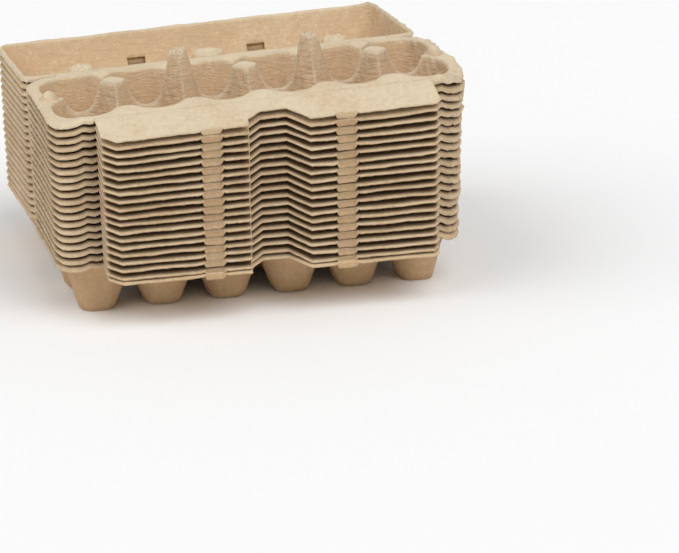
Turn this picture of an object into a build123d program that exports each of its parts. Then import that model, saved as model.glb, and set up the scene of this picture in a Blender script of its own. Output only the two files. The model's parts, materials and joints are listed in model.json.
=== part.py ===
from build123d import *

import os
from math import atan, cos, degrees, radians, sin, sqrt, tan

# A stack of moulded-pulp egg cartons, nested open into one another.
#
# Each carton is one pulp shell: a tray of two rows of egg cells, a lid joined to the back of the tray by a fold, and
# a locking flap joined to its front. The cartons below the top one are one solid each. The top carton has nothing
# over it, so its lid and its flap can turn, and it is cut at those two folds.
#
# A carton is modelled with x along its length, y from the flap to the lid and z up, and its feet at z = 0.

# Stack
carton_count = 20
nest_pitch = 5.7
stack_lean = 2.3  # degrees that the top carton leans along its length

# Pulp
sheet = 1.8  # rim, flap, lid panel and feet
wall = 0.85  # steep walls of the cells, thinned by the draw of the mould
overrun = 2.0

# Tray
cell_pitch = 47.0
cell_columns = 6
foot_width = 24.0
rim_height = 42.0
rim_length = 298.0
rim_width = 108.0
rim_front_corner = 10.0
rim_back_corner = 12.0
mouth_reach = 23.5  # from a cell's centre to the outer wall at the rim
tub_corner = 8.0  # across the corners of the tray, at the feet
ridge_drop = 15.5  # ridges between the cells, below the rim
tall_post_rise = 26.5
tall_post_width = 4.4
low_post_rise = 9.0

# Flap
flap_root = 237.0
flap_length = 27.5
flap_slope = 22.0
flap_corner_width = 12.0
flap_corner_length = 9.0
notch_root = 21.0
notch_mouth = 46.0
notch_depth = 14.0
button_width = 12.0
button_length = 5.0
button_height = 2.6
button_inset = 1.2

# Lid
lid_inset = 2.0  # each end of the lid's rim, inside the end of the tray's rim that it closes on
lid_length = rim_length - 2 * lid_inset
lid_width = 108.5
lid_depth = 32.0
lid_droop = 2.5
lid_corner = 9.0
lid_wall = 1.1
lid_draft = 25.0
hinge_length = 246.0
hinge_lip = 3.0

# Lock slots, egg windows, rib and knob in the lid of the top carton
slot_width = 14.0
slot_height = 5.0
slot_depth = 20.0
boss_rise = 18.0
boss_foot_length = 27.0
boss_foot_width = 30.0
window_length = 12.0
window_width = 24.0
window_spacing = 36.0
window_corner = 4.0
rib_rise = 11.0
rib_foot_width = 17.0
rib_foot_length = 76.0
knob_rise = 18.0
knob_foot = 32.0
knob_sides = 8
bump_draft = 24.0

lid_middle = hinge_lip + lid_width / 2
lid_fold = Axis((0, rim_width / 2, rim_height), (1, 0, 0))

# Folds of the top carton
fold_gap = 0.3

# Drafts of the cell walls
ridge_height = rim_height - ridge_drop
tall_post_top = rim_height + tall_post_rise
low_post_top = rim_height + low_post_rise
foot_corner_reach = foot_width / sqrt(2)
post_reach = cell_pitch / sqrt(2)
outer_slope = (mouth_reach - foot_width / 2) / (rim_height - sheet)
inner_slope = (cell_pitch - foot_width) / 2 / (ridge_height - sheet)
corner_slope = (post_reach - tall_post_width / 2 - foot_corner_reach) / (tall_post_top - sheet)


def flare(outline, low, high, slope):
    """A block over an outline on a level plane, whose sides all run out by that slope as it rises."""
    with BuildPart() as block:
        with BuildSketch(Plane.XY.offset(low)):
            add(outline)
        extrude(amount=high - low)
        draft(block.faces().filter_by(Axis.Z, reverse=True), Plane.XY.offset(low), -degrees(atan(slope)))
    return block.part


def wall_reach(foot_reach, height, slope, skin):
    """From a cell's centre to a wall: to its inside, or with a skin to its outside."""
    return foot_reach + (height - sheet) * slope + skin * sqrt(1 + slope**2)


def cell(low, high, skin, outline):
    """One egg cell of the front row as a solid: four flaring sides, inside a second outline that cuts corners."""
    side = wall_reach(foot_width / 2, low, inner_slope, skin)
    with BuildSketch() as sides:
        Rectangle(2 * side, 2 * side)
    with BuildPart() as body:
        add(flare(sides.sketch, low, high, inner_slope))
        add(flare(outline, low, high, corner_slope), mode=Mode.INTERSECT)
    return body.part


def corner_outline(low, skin, cuts):
    """Outline that cuts all four corners of a cell, the two next to the ridge, or the one next to a post."""
    reach = wall_reach(foot_corner_reach, low, corner_slope, skin)
    point = reach * sqrt(2)
    far = 2 * point
    with BuildSketch() as outline:
        if cuts == 4:
            Rectangle(2 * reach, 2 * reach, rotation=45)
        if cuts == 2:
            Polygon((0, point), (-far, -point), (-far, -far), (far, -far), (far, -point), align=None)
        if cuts == 1:
            Polygon((-point, far), (-far, far), (-far, -far), (far, -far), (far, -point), align=None)
    return outline.sketch


def cell_block(low, high, skin, full):
    """All the egg cells as one solid, inside the outer walls of the tray. Full cells have fins at the rim."""
    end_cell = cell(low, high, skin, corner_outline(low, skin, 4 if full else 1))
    middle_cell = cell(low, high, skin, corner_outline(low, skin, 4 if full else 2))
    middle_columns = cell_columns // 2 - 1
    tub_side = wall_reach(foot_width / 2, low, outer_slope, skin)
    with BuildSketch() as tub:
        Rectangle((cell_columns - 1) * cell_pitch + 2 * tub_side, cell_pitch + 2 * tub_side)
        if full:
            chamfer(tub.vertices(), tub_corner)
    with BuildPart() as block:
        with Locations((-(cell_columns - 1) * cell_pitch / 2, -cell_pitch / 2)):
            add(end_cell)
        with Locations((-middle_columns * cell_pitch / 2, -cell_pitch / 2)):
            with GridLocations(cell_pitch, 0, middle_columns, 1):
                add(middle_cell)
        mirror(about=Plane.YZ)
        mirror(about=Plane.XZ)
        add(flare(tub.sketch, low, high, outer_slope), mode=Mode.INTERSECT)
    return block.part


def post_places():
    """Centre and top height of the posts along the middle of the tray, low and tall by turns."""
    for post in range(1, cell_columns):
        x = (post - cell_columns / 2) * cell_pitch
        yield x, low_post_top if post % 2 else tall_post_top


def tray(full):
    """Pulp tray: flat rim, egg cells that merge over low ridges, and posts where four cells meet."""
    rim_under = rim_height - sheet
    hollow_low = rim_under - overrun
    hollow_width = 2 * (post_reach - wall_reach(foot_corner_reach, hollow_low, corner_slope, wall))
    with BuildPart() as body:
        with BuildSketch(Plane.XY.offset(rim_under)) as rim:
            Rectangle(rim_length, rim_width)
            chamfer(rim.vertices().group_by(Axis.Y)[0], rim_front_corner)
            chamfer(rim.vertices().group_by(Axis.Y)[-1], rim_back_corner)
        extrude(amount=sheet)
        add(cell_block(0, rim_height, wall, full))
        for x, top in post_places():
            with BuildSketch(Plane.XY.offset(rim_under)):
                with Locations((x, 0)):
                    Rectangle(cell_pitch / 2, cell_pitch / 2)
            extrude(amount=top - rim_under)
        add(cell_block(sheet, tall_post_top + overrun, 0, full), mode=Mode.SUBTRACT)
        for x, top in post_places():
            with BuildSketch(Plane.XY.offset(hollow_low)):
                with Locations((x, 0)):
                    Rectangle(hollow_width, hollow_width, rotation=45)
            extrude(amount=top - sheet - hollow_low, taper=degrees(atan(corner_slope)), mode=Mode.SUBTRACT)
    return body.part


def flap(gap):
    """Locking flap: a sloping sheet with a notch in its free edge and a lock button beside the notch each side."""
    slope = radians(flap_slope)
    fold = Plane((0, -rim_width / 2, rim_height), (1, 0, 0), (0, -sin(slope), cos(slope)))
    root_cut = Plane((0, -rim_width / 2 - gap, rim_height), (1, 0, 0), (0, -1, 0))
    with BuildPart() as body:
        with BuildSketch(fold):
            with BuildLine():
                Polyline(
                    (0, overrun),
                    (flap_root / 2, overrun),
                    (flap_root / 2, flap_corner_length - flap_length),
                    (flap_root / 2 - flap_corner_width, -flap_length),
                    (notch_mouth / 2, -flap_length),
                    (notch_root / 2, notch_depth - flap_length),
                    (0, notch_depth - flap_length),
                )
                mirror(about=Plane.YZ)
            make_face()
        extrude(amount=-sheet)
        with BuildSketch(fold):
            with Locations((0, button_inset + button_length / 2 - flap_length)):
                with GridLocations(2 * cell_pitch, 0, 2, 1):
                    Rectangle(button_width, button_length)
        extrude(amount=-sheet - button_height)
        split(bisect_by=root_cut, keep=Keep.TOP)
    return body.part


def lid_plane(rise):
    """Plane of the lid's rim, moved up by a rise."""
    return Plane((0, rim_width / 2, rim_height + rise))


def lid_tub(rise, depth, skin):
    """The lid's tub as a solid, from above its rim down to a depth, taken in by skin."""
    slope = tan(radians(lid_draft))
    run = depth * slope + skin / cos(radians(lid_draft))
    with BuildSketch() as panel:
        with Locations((0, rim_width / 2 + lid_middle)):
            Rectangle(lid_length - 2 * run, lid_width - 2 * run)
        chamfer(panel.vertices(), lid_corner)
    return flare(panel.sketch, rim_height - depth, rim_height + rise, slope)


def lid(gap, fittings):
    """Pulp lid: an open tub on a hinge lip, and with fittings its slots, windows, rib and knob."""
    with BuildPart() as body:
        add(lid_tub(0, lid_depth, 0))
        with BuildSketch(lid_plane(-sheet)):
            with Locations((0, (hinge_lip + sheet + gap) / 2)):
                Rectangle(hinge_length, hinge_lip + sheet - gap)
        extrude(amount=sheet)
        add(lid_tub(overrun, lid_depth - sheet, lid_wall), mode=Mode.SUBTRACT)
        if fittings:
            add(lid_bumps(sheet, 0))
            add(lid_bumps(0, wall), mode=Mode.SUBTRACT)
            add(lid_holes(), mode=Mode.SUBTRACT)
    return body.part.rotate(lid_fold, -lid_droop)


def lid_bumps(roof, skin):
    """Bosses, rib and knob that rise inside the lid, or with a skin the hollows under them."""
    with BuildPart() as bumps:
        with BuildSketch(lid_plane(-lid_depth)):
            with Locations((0, lid_middle)):
                with GridLocations(4 * cell_pitch, 0, 2, 1):
                    Rectangle(boss_foot_length - 2 * skin, boss_foot_width - 2 * skin)
        extrude(amount=boss_rise + roof, taper=bump_draft)
        with BuildSketch(lid_plane(-lid_depth)):
            with Locations((0, lid_middle)):
                Rectangle(rib_foot_width - 2 * skin, rib_foot_length - 2 * skin)
        extrude(amount=rib_rise + roof, taper=bump_draft)
        with BuildSketch(lid_plane(-lid_depth)):
            with Locations((0, lid_middle)):
                RegularPolygon(knob_foot / 2 - skin, knob_sides)
        extrude(amount=knob_rise + roof, taper=bump_draft)
    return bumps.part


def lid_holes():
    """Egg windows either side of each boss, and the lock slots in the wall that closes over the flap."""
    far_wall = hinge_lip + lid_width - slot_depth * tan(radians(lid_draft))
    with BuildPart() as holes:
        with BuildSketch(lid_plane(-lid_depth - overrun)) as windows:
            for side in (-1, 1):
                with Locations((side * 2 * cell_pitch, lid_middle)):
                    with GridLocations(window_spacing, 0, 2, 1):
                        Rectangle(window_length, window_width)
            chamfer(windows.vertices(), window_corner)
        extrude(amount=boss_rise)
        with BuildSketch(lid_plane(-slot_depth - slot_height / 2)):
            with Locations((0, far_wall)):
                with GridLocations(2 * cell_pitch, 0, 2, 1):
                    Rectangle(slot_width, slot_height + overrun)
        extrude(amount=slot_height)
    return holes.part


def whole_carton():
    """A carton that stays open under the next one: tray, flap and lid in one piece."""
    with BuildPart() as carton:
        add(tray(False))
        add(flap(0))
        add(lid(0, False))
    return carton.part


def seat(level):
    """Where the carton at a level of the stack lies, counted from the floor."""
    lean = stack_lean * level / (carton_count - 1)
    return Location((0, 0, level * nest_pitch), (0, -lean, 0))


top_level = carton_count - 1
one_carton = whole_carton()
pieces = {f"carton_{level + 1:02d}": seat(level) * one_carton for level in range(top_level)}
pieces["top_tray"] = seat(top_level) * tray(True)
pieces["top_flap"] = seat(top_level) * flap(fold_gap)
pieces["top_lid"] = seat(top_level) * lid(fold_gap, True)

# The origin is on the floor, under the middle of the whole stack.
boxes = [piece.bounding_box() for piece in pieces.values()]
middle_x = (min(box.min.X for box in boxes) + max(box.max.X for box in boxes)) / 2
middle_y = (min(box.min.Y for box in boxes) + max(box.max.Y for box in boxes)) / 2
to_origin = Location((-middle_x, -middle_y, 0))

os.makedirs("parts", exist_ok=True)
for name, piece in pieces.items():
    placed = to_origin * piece
    placed.label = name
    export_step(placed, f"parts/{name}.step")
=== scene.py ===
# %% [markdown]
# # A stack of moulded-pulp egg cartons
# The cartons are open and nested: every tray sits in the tray below it, every lid in the lid below it, and
# every locking flap hangs over the one below it. The construction model gives the places and sizes. This
# scene gives each carton its soft moulded form, its wavy edges and its fibrous surface.

import json
import math
from functools import partial

import bpy
import numpy as np
from mathutils import Matrix, Vector


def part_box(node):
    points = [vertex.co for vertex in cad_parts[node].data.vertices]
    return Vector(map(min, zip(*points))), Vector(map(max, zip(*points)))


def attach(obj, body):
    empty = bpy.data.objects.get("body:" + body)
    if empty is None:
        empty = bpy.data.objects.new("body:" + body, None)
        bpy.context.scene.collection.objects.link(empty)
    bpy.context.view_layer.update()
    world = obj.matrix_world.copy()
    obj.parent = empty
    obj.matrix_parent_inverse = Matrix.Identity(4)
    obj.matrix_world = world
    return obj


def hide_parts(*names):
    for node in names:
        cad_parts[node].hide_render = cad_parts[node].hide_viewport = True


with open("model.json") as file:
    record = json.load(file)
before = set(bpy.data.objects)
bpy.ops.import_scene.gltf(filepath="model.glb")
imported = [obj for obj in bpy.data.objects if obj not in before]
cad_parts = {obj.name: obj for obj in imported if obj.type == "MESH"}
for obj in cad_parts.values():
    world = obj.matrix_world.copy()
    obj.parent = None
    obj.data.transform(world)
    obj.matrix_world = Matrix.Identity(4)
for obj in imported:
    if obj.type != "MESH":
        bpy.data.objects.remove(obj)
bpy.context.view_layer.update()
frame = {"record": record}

# %% [markdown]
# ## Sizes
# The scene works in millimetres, in the frame of one carton: x along its length, y from the flap to the lid,
# z up, and its feet at z = 0. The box of the first carton and the two folds in the record tell where that
# frame lies in the stack, so its place isn't fitted by eye.

# %% Sizes of one carton and of the stack
MM = 0.001
CARTONS = 20
NEST_PITCH = 5.7
STACK_LEAN = 2.3

CELL_PITCH = 47.0
FOOT = 24.0
RIM = 42.0
RIM_LENGTH = 298.0
RIM_WIDTH = 108.0
SHEET = 1.8
MOUTH_REACH = 23.5
RIDGE = 30.0
TALL_POST = 26.5
LOW_POST = 9.0

FLAP_ROOT = 237.0
FLAP_LENGTH = 27.5
FLAP_SLOPE = 22.0

LID_LENGTH = 294.0
LID_WIDTH = 108.5
LID_DEPTH = 30.2
LID_CORNER = 11.0
LID_DROOP = 2.5
LID_DRAFT = 25.0
LID_SLOPE = math.tan(math.radians(LID_DRAFT))
HINGE_LIP = 3.0
HINGE_LENGTH = 246.0

joints = {joint["name"]: joint for joint in frame["record"]["behaviour"]["joints"]}
first_low, first_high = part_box("carton_01")
centre_x = (first_low[0] + first_high[0]) / 2
centre_y = (joints["top_lid_fold"]["pos_m"][1] + joints["top_flap_fold"]["pos_m"][1]) / 2
print("carton frame lies at", round(centre_x, 5), round(centre_y, 5))

# %% [markdown]
# ## Soft corners in a height map
# A moulded shell has one height over each point of its plan, so it can be drawn as a height map. Where two
# walls meet, a plain minimum or maximum gives a knife edge. The soft versions below round that edge off, as
# wet pulp does when it settles on the mould. A swell is a soft mound, and a ramp passes from one form into
# the next. Values called a band or a fade are the two ends of a ramp.

# %% Soft forms
NO_ZERO = 1e-9


def soft_max(a, b, radius):
    """The larger of two heights, with the meeting edge rounded."""
    gap = np.clip(0.5 + 0.5 * (a - b) / radius, 0.0, 1.0)
    return b * (1 - gap) + a * gap + radius * gap * (1 - gap)


def soft_min(a, b, radius):
    """The smaller of two heights, with the meeting edge rounded."""
    return -soft_max(-a, -b, radius)


def ramp(value, start, stop):
    """Smooth step from 0 at start to 1 at stop."""
    share = np.clip((value - start) / (stop - start), 0.0, 1.0)
    return share * share * (3 - 2 * share)


def swell(distance, reach):
    """Soft mound: 1 in its middle, nearly 0 at twice its reach."""
    return np.exp(-((distance / reach) ** 2))


def inside_depth(x, y, length, width, corner):
    """Distance inwards from the edge of a rectangle with round corners."""
    side_x = np.abs(x) - length / 2 + corner
    side_y = np.abs(y) - width / 2 + corner
    outside = np.hypot(np.maximum(side_x, 0), np.maximum(side_y, 0))
    return corner - outside - np.minimum(np.maximum(side_x, side_y), 0)


# %% [markdown]
# ## Grid lines that follow the outline
# The map is drawn on a grid of lines, closer together where the form is fine. A plain grid has square
# corners, so the corner squares are bent into quarter discs. The outer lines then run along the round edge,
# which keeps it clean.


# %% Grid of a sheet with round corners
def grid_lines(low, high, step, stops=()):
    """Even lines from low to high that also pass through the stops."""
    marks = sorted({low, high, *[stop for stop in stops if low < stop < high]})
    lines = [low]
    for start, stop in zip(marks[:-1], marks[1:]):
        count = max(1, round((stop - start) / step))
        lines.extend(start + (stop - start) * k / count for k in range(1, count + 1))
    return np.array(lines)


def all_squares(lines_a, lines_b):
    """Marks that keep every square of a grid."""
    return np.ones((len(lines_a) - 1, len(lines_b) - 1), bool)


def round_corners(x, y, length, width, front_corner, back_corner):
    """Bend the corners of a grid over a rectangle into quarter discs."""
    corner = np.where(y < 0, front_corner, back_corner)
    share_x = np.clip((np.abs(x) - length / 2 + corner) / corner, 0, 1)
    share_y = np.clip((np.abs(y) - width / 2 + corner) / corner, 0, 1)
    in_corner = (share_x > 0) & (share_y > 0)
    bent_x = length / 2 - corner + corner * share_x * np.sqrt(1 - share_y**2 / 2)
    bent_y = width / 2 - corner + corner * share_y * np.sqrt(1 - share_x**2 / 2)
    new_x = np.where(in_corner, np.sign(x) * bent_x, x)
    new_y = np.where(in_corner, np.sign(y) * bent_y, y)
    return new_x, new_y


# %% [markdown]
# ## The tray
# Twelve cells hang from a flat rim. Each is a bucket, nearly round at its foot, whose walls lean out at
# different slopes: gently towards its neighbours, so that two cells merge over a low crest, and steeply
# towards the posts and the rim. Where four cells meet, the pulp is left standing as a post: low ones with a
# round flat top, and tall pinched ones with a torn tip, which keep the lid from sinking on the eggs. The rim
# has half-moon mounds between the cells, a hump at each end, and an edge that rolls down.

# %% Sizes of the cells and their crests
COLUMNS = 6
ROWS = 2
CELLS_X = [(column - (COLUMNS - 1) / 2) * CELL_PITCH for column in range(COLUMNS)]
CELLS_Y = [(row - (ROWS - 1) / 2) * CELL_PITCH for row in range(ROWS)]
FOOT_POWER = 3
INNER_SLOPE = (CELL_PITCH - FOOT) / 2 / (RIDGE - SHEET)
OUTER_SLOPE = (MOUTH_REACH - FOOT / 2) / (RIM - SHEET)
POST_SLOPE = 0.263
FAR_UP = 1000.0
CELL_BLEND = 2.8
RIM_BLEND = 6.8
BACK_BLEND_SHARE = 0.45
RIM_BAND_X = (128.0, 140.0)
RIM_BAND_Y = (31.0, 43.0)
FLOOR_ROUND = 3.0
TOP_ROUND = 2.0
CREST_WIDTH = 6.0
CREST_BEAD = 1.7
CREST_SIDE_SHARE = 0.1
CREST_FADE_X = (138.0, 128.0)
CREST_FADE_Y = (40.0, 30.0)
CREST_MIDDLE_FADE = (9.0, 4.0)
print("cells", COLUMNS * ROWS, "slopes", round(INNER_SLOPE, 3), round(OUTER_SLOPE, 3), POST_SLOPE)

# %% Sizes of the posts and the rim
LAST_POST = COLUMNS // 2 - 1
TALL_DROP = 1.4
TORN_WAVE = 1.5
TORN_RIPPLES = (1.3, 1.1)
TORN_LEAN = 0.25
PINCH_STRETCH = 1.25
PINCH_REACH = 3.6
PINCH_SLOPE = 0.2
PINCH_ROUND = 2.0
LOW_DIMPLE = 0.6
LOW_DIMPLE_REACH = 4.0

MOUND = 2.6
MOUND_Y = 44.0
MOUND_REACH_X = 12.0
MOUND_REACH_Y = 7.0
END_HUMP = 6.0
END_HUMP_X = 139.0
END_HUMP_STRETCH = 0.9
END_HUMP_CURVE = 8.5
END_HUMP_ROUND = 2.5

FRONT_CORNER = 15.0
BACK_CORNER = 24.0
FOLD_TAPER = 6.0
FOLD_BAND = (30.0, 45.0)
FRONT_BAND = (42.0, 50.0)
FOLD_ROLL = 0.6
END_ROLL = 1.0
LEFT_ROLL = 3.2
RIGHT_ROLL = 4.4
ROLL_WIDTH = 3.2
EDGE_LINES = (0.8, 1.8, 3.2)
KNUCKLE = 1.4
KNUCKLE_OUT = 8.5
KNUCKLE_REACH = 3.2
CORNER_SAG = 2.4
CORNER_SAG_IN = (4.0, 6.0)
CORNER_SAG_REACH = 24.0
print("posts", 2 * LAST_POST + 1, "rim", RIM_LENGTH, "by", RIM_WIDTH)


# %% Height map of the cells
def cell_height(x, y, column, row):
    """Height of one cell's wall above its floor, taken out past its neighbours."""
    dx = x - CELLS_X[column]
    dy = y - CELLS_Y[row]
    reach = np.hypot(dx, dy) + NO_ZERO
    along = np.abs(dx) / reach
    across = np.abs(dy) / reach
    foot = FOOT / 2 / (along**FOOT_POWER + across**FOOT_POWER) ** (1 / FOOT_POWER)
    outer_x = (column == 0) & (dx < 0) | (column == COLUMNS - 1) & (dx > 0)
    outer_y = (row == 0) & (dy < 0) | (row == ROWS - 1) & (dy > 0)
    slope_x = np.where(outer_x, OUTER_SLOPE, INNER_SLOPE)
    slope_y = np.where(outer_y, OUTER_SLOPE, INNER_SLOPE)
    side_slope = slope_x * along**2 + slope_y * across**2
    towards_post = (1 - (along**2 - across**2) ** 2) ** 2
    slope = side_slope * (1 - towards_post) + POST_SLOPE * towards_post
    return (reach - foot) / slope


def tray_crest(x, y):
    """1 on the crest line between two cells, 0 away from it."""
    walls = np.stack([cell_height(x, y, column, row) for column in range(COLUMNS) for row in range(ROWS)])
    lowest = np.partition(walls, 1, axis=0)
    inside = ramp(np.abs(y), *CREST_FADE_Y) * ramp(np.abs(x), *CREST_FADE_X)
    inside = inside * (CREST_SIDE_SHARE + (1 - CREST_SIDE_SHARE) * ramp(np.abs(y), *CREST_MIDDLE_FADE))
    return inside * swell(lowest[1] - lowest[0], CREST_WIDTH)


# %% Height map of the posts and the rim
def tray_ceiling(x, y):
    """Height at which the walls between the cells end: the rim with its mounds, or the top of a post."""
    nearest = np.clip(np.rint(x / CELL_PITCH), -LAST_POST, LAST_POST)
    dx = x - nearest * CELL_PITCH
    mound = MOUND * swell(dx, MOUND_REACH_X) * swell(np.abs(y) - MOUND_Y, MOUND_REACH_Y)
    tall = np.abs(nearest) == 1
    low_top = RIM + LOW_POST - LOW_DIMPLE * swell(np.hypot(dx, y), LOW_DIMPLE_REACH)
    ripples = np.sin(dx * TORN_RIPPLES[0] + nearest) * np.cos(y * TORN_RIPPLES[1] - nearest)
    torn = TORN_WAVE * ripples - TORN_LEAN * dx * nearest
    tall_top = RIM + TALL_POST - TALL_DROP + torn
    in_posts = (np.abs(y) < CELL_PITCH / 2) & (np.abs(x) < CELLS_X[-1])
    return np.where(in_posts, np.where(tall, tall_top, low_top), RIM + mound)


def tray_edge(x, y):
    """Distance inwards from the tray's outline."""
    return inside_depth(x, y, RIM_LENGTH, RIM_WIDTH, np.where(y < 0, FRONT_CORNER, BACK_CORNER))


def folds(x, y):
    """How much of a fold there is at the rim, at the flap and at the hinge."""
    at_flap = ramp(FLAP_ROOT / 2 + FOLD_TAPER / 2 - np.abs(x), 0.0, FOLD_TAPER) * ramp(-y, *FOLD_BAND)
    at_hinge = ramp(HINGE_LENGTH / 2 + FOLD_TAPER / 2 - np.abs(x), 0.0, FOLD_TAPER) * ramp(y, *FOLD_BAND)
    return np.maximum(at_flap, at_hinge)


def rim_shift(x, y):
    """Change of height at the rim: its edge rolls down, knuckles rise beside the flap, front corners sag."""
    at_front = ramp(-y, *FRONT_BAND)
    drop = END_ROLL + (np.where(x < 0, LEFT_ROLL, RIGHT_ROLL) - END_ROLL) * at_front
    drop = drop + (FOLD_ROLL - drop) * folds(x, y)
    rolled = np.clip(1 - tray_edge(x, y) / ROLL_WIDTH, 0, 1)
    knuckle = at_front * swell(np.abs(x) - FLAP_ROOT / 2 - KNUCKLE_OUT, KNUCKLE_REACH)
    from_end = np.abs(x) - RIM_LENGTH / 2 + CORNER_SAG_IN[0]
    from_front = y + RIM_WIDTH / 2 - CORNER_SAG_IN[1]
    sag = swell(np.hypot(from_end, from_front), CORNER_SAG_REACH)
    return KNUCKLE * knuckle - drop * rolled**2 - CORNER_SAG * sag


def tray_height(x, y):
    """Height of the tray's upper face over its feet."""
    along_side = np.where(y > 0, BACK_BLEND_SHARE, 1.0) * ramp(np.abs(y), *RIM_BAND_Y)
    near_rim = np.maximum(along_side, ramp(np.abs(x), *RIM_BAND_X))
    walls = np.full(x.shape, FAR_UP)
    for column in range(COLUMNS):
        for row in range(ROWS):
            walls = soft_min(walls, cell_height(x, y, column, row), CELL_BLEND + RIM_BLEND * near_rim)
    for side in (-1, 1):
        pinched = np.hypot((x - side * CELL_PITCH) / PINCH_STRETCH, y)
        walls = soft_max(walls, RIM + TALL_POST - (pinched - PINCH_REACH) / PINCH_SLOPE, PINCH_ROUND)
    walls = walls + CREST_BEAD * tray_crest(x, y)
    height = soft_max(walls, np.zeros_like(walls), FLOOR_ROUND) + SHEET
    height = soft_min(height, tray_ceiling(x, y), TOP_ROUND)
    for side in (-1, 1):
        from_hump = np.hypot((x - side * END_HUMP_X) / END_HUMP_STRETCH, y)
        height = soft_max(height, RIM + END_HUMP - from_hump**2 / END_HUMP_CURVE, END_HUMP_ROUND)
    return height + rim_shift(x, y)


# %% [markdown]
# ## From a height map to a shell
# The upper face is pushed along its own normal to make the lower face, and the open edges are closed with a
# rounded strip. Pulp is thinner on steep walls than on flats, because the mould draws it there. The shell
# also keeps some values at every point, for the finish: how flat it lies or was pressed, whether it is a
# crest or a valley, whether it is a free edge, how loose it hangs, on which face it is, how much painted
# shade it gets where it lies under the next carton, and how rough it is.

# %% Grid measures
CREST_GAIN = 2.0


def grid_normals(points):
    """Normals of a grid of points, upwards."""
    across = np.gradient(points, axis=0)
    along = np.gradient(points, axis=1)
    normals = np.cross(across, along)
    return normals / (np.linalg.norm(normals, axis=2, keepdims=True) + NO_ZERO)


def grid_crests(points, normals):
    """How far each grid point stands out from its neighbours: 1 on a sharp crest, -1 in a sharp valley."""
    inner = slice(1, -1)
    here = (inner, inner)
    crest = np.zeros(points.shape[:2])
    for shift in (slice(2, None), slice(0, -2)):
        for other in ((shift, inner), (inner, shift)):
            step = points[here] - points[other]
            bend = np.sum(step * normals[here], axis=2) / (np.sum(step**2, axis=2) + NO_ZERO)
            crest[here] = crest[here] + bend
    return np.clip(crest * CREST_GAIN, -1, 1)


def open_edges(squares, count):
    """Edges that only one square uses, in that square's direction."""
    edges = np.concatenate([squares[:, [k, (k + 1) % 4]] for k in range(4)])
    keys = np.sort(edges, axis=1)
    order = keys[:, 0].astype(np.int64) * count + keys[:, 1]
    _, first, uses = np.unique(order, return_index=True, return_counts=True)
    return edges[first[uses == 1]]


def ways_out(top, normals, rim):
    """The points on the rim, and the directions out of the sheet there."""
    run = top[rim[:, 1]] - top[rim[:, 0]]
    out = np.cross(run, normals[rim[:, 0]])
    outward = np.zeros_like(top)
    np.add.at(outward, rim[:, 0], out)
    np.add.at(outward, rim[:, 1], out)
    on_rim = np.unique(rim)
    return on_rim, outward[on_rim] / (np.linalg.norm(outward[on_rim], axis=1, keepdims=True) + NO_ZERO)


# %% Shell of pulp
STEEP_SHEET = 1.0
EDGE_ROUND = 0.45
EDGE_FLAT = 0.75
# Painted shade on the edge strip and on the whole lower face, standing for the shade under the next carton
EDGE_PAINTED_SHADE = 0.1
UNDER_EDGE_STEEP = 0.7
UNDER_PAINTED_SHADE = 0.8


def pulp_shell(
    points, keep, loose, painted_shade, rough, crests=0.0, pressed=0.0, flat_sheet=SHEET, steep_sheet=STEEP_SHEET
):
    """Vertices, faces and values of a closed shell under a grid of points, in the squares that keep marks."""
    rows, columns = points.shape[:2]
    count = rows * columns
    normals = grid_normals(points)
    upright = np.abs(normals[:, :, 2:3])
    sheet = steep_sheet + (flat_sheet - steep_sheet) * upright**2
    top = points.reshape(-1, 3)
    bottom = (points - normals * sheet).reshape(-1, 3)
    index = np.arange(count).reshape(rows, columns)
    squares = np.stack([index[:-1, :-1], index[1:, :-1], index[1:, 1:], index[:-1, 1:]], axis=2)[keep]
    rim = open_edges(squares, count)
    on_rim, outward = ways_out(top, normals.reshape(-1, 3), rim)
    middle = (top[on_rim] + bottom[on_rim]) / 2 + outward * EDGE_ROUND
    middle_index = np.full(count, -1)
    middle_index[on_rim] = 2 * count + np.arange(len(on_rim))
    a, b = rim[:, 0], rim[:, 1]
    upper_strip = np.stack([b, a, middle_index[a], middle_index[b]], axis=1)
    lower_strip = np.stack([middle_index[b], middle_index[a], a + count, b + count], axis=1)
    faces = np.concatenate([squares, squares[:, ::-1] + count, upper_strip, lower_strip])
    vertices = np.concatenate([top, bottom, middle])
    at_rim = np.zeros(count)
    at_rim[on_rim] = 1.0
    flat = np.maximum(upright[:, :, 0], pressed).reshape(-1)
    crest = np.maximum(grid_crests(points, normals), crests).reshape(-1)
    loose, painted_shade, rough = loose.reshape(-1), painted_shade.reshape(-1), rough.reshape(-1)
    strip = np.ones(len(on_rim))
    values = {
        "flat": np.concatenate([flat, flat - UNDER_EDGE_STEEP * at_rim, EDGE_FLAT * strip]),
        "crest": np.concatenate([crest, -crest, 0 * strip]),
        "edge": np.concatenate([at_rim, at_rim, strip]),
        "loose": np.concatenate([loose, loose, loose[on_rim]]),
        "skin": np.concatenate([np.ones(count), -np.ones(count), 0 * strip]),
        # painted_shade: how strongly the colour is darkened as painted shade where the next carton covers
        # this one
        "painted_shade": np.concatenate([painted_shade, np.maximum(painted_shade, UNDER_PAINTED_SHADE), EDGE_PAINTED_SHADE * strip]),
        "rough": np.concatenate([rough, rough, rough[on_rim]]),
    }
    used = np.zeros(len(vertices), bool)
    used[faces.ravel()] = True
    renumber = np.cumsum(used) - 1
    return vertices[used], renumber[faces], {name: value[used] for name, value in values.items()}


# %% Mesh of shells
def join_shells(shells):
    """Several shells as one."""
    offsets = np.cumsum([0] + [len(shell[0]) for shell in shells[:-1]])
    vertices = np.concatenate([shell[0] for shell in shells])
    faces = np.concatenate([shell[1] + offset for shell, offset in zip(shells, offsets)])
    values = {name: np.concatenate([shell[2][name] for shell in shells]) for name in shells[0][2]}
    return vertices, faces, values


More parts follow.
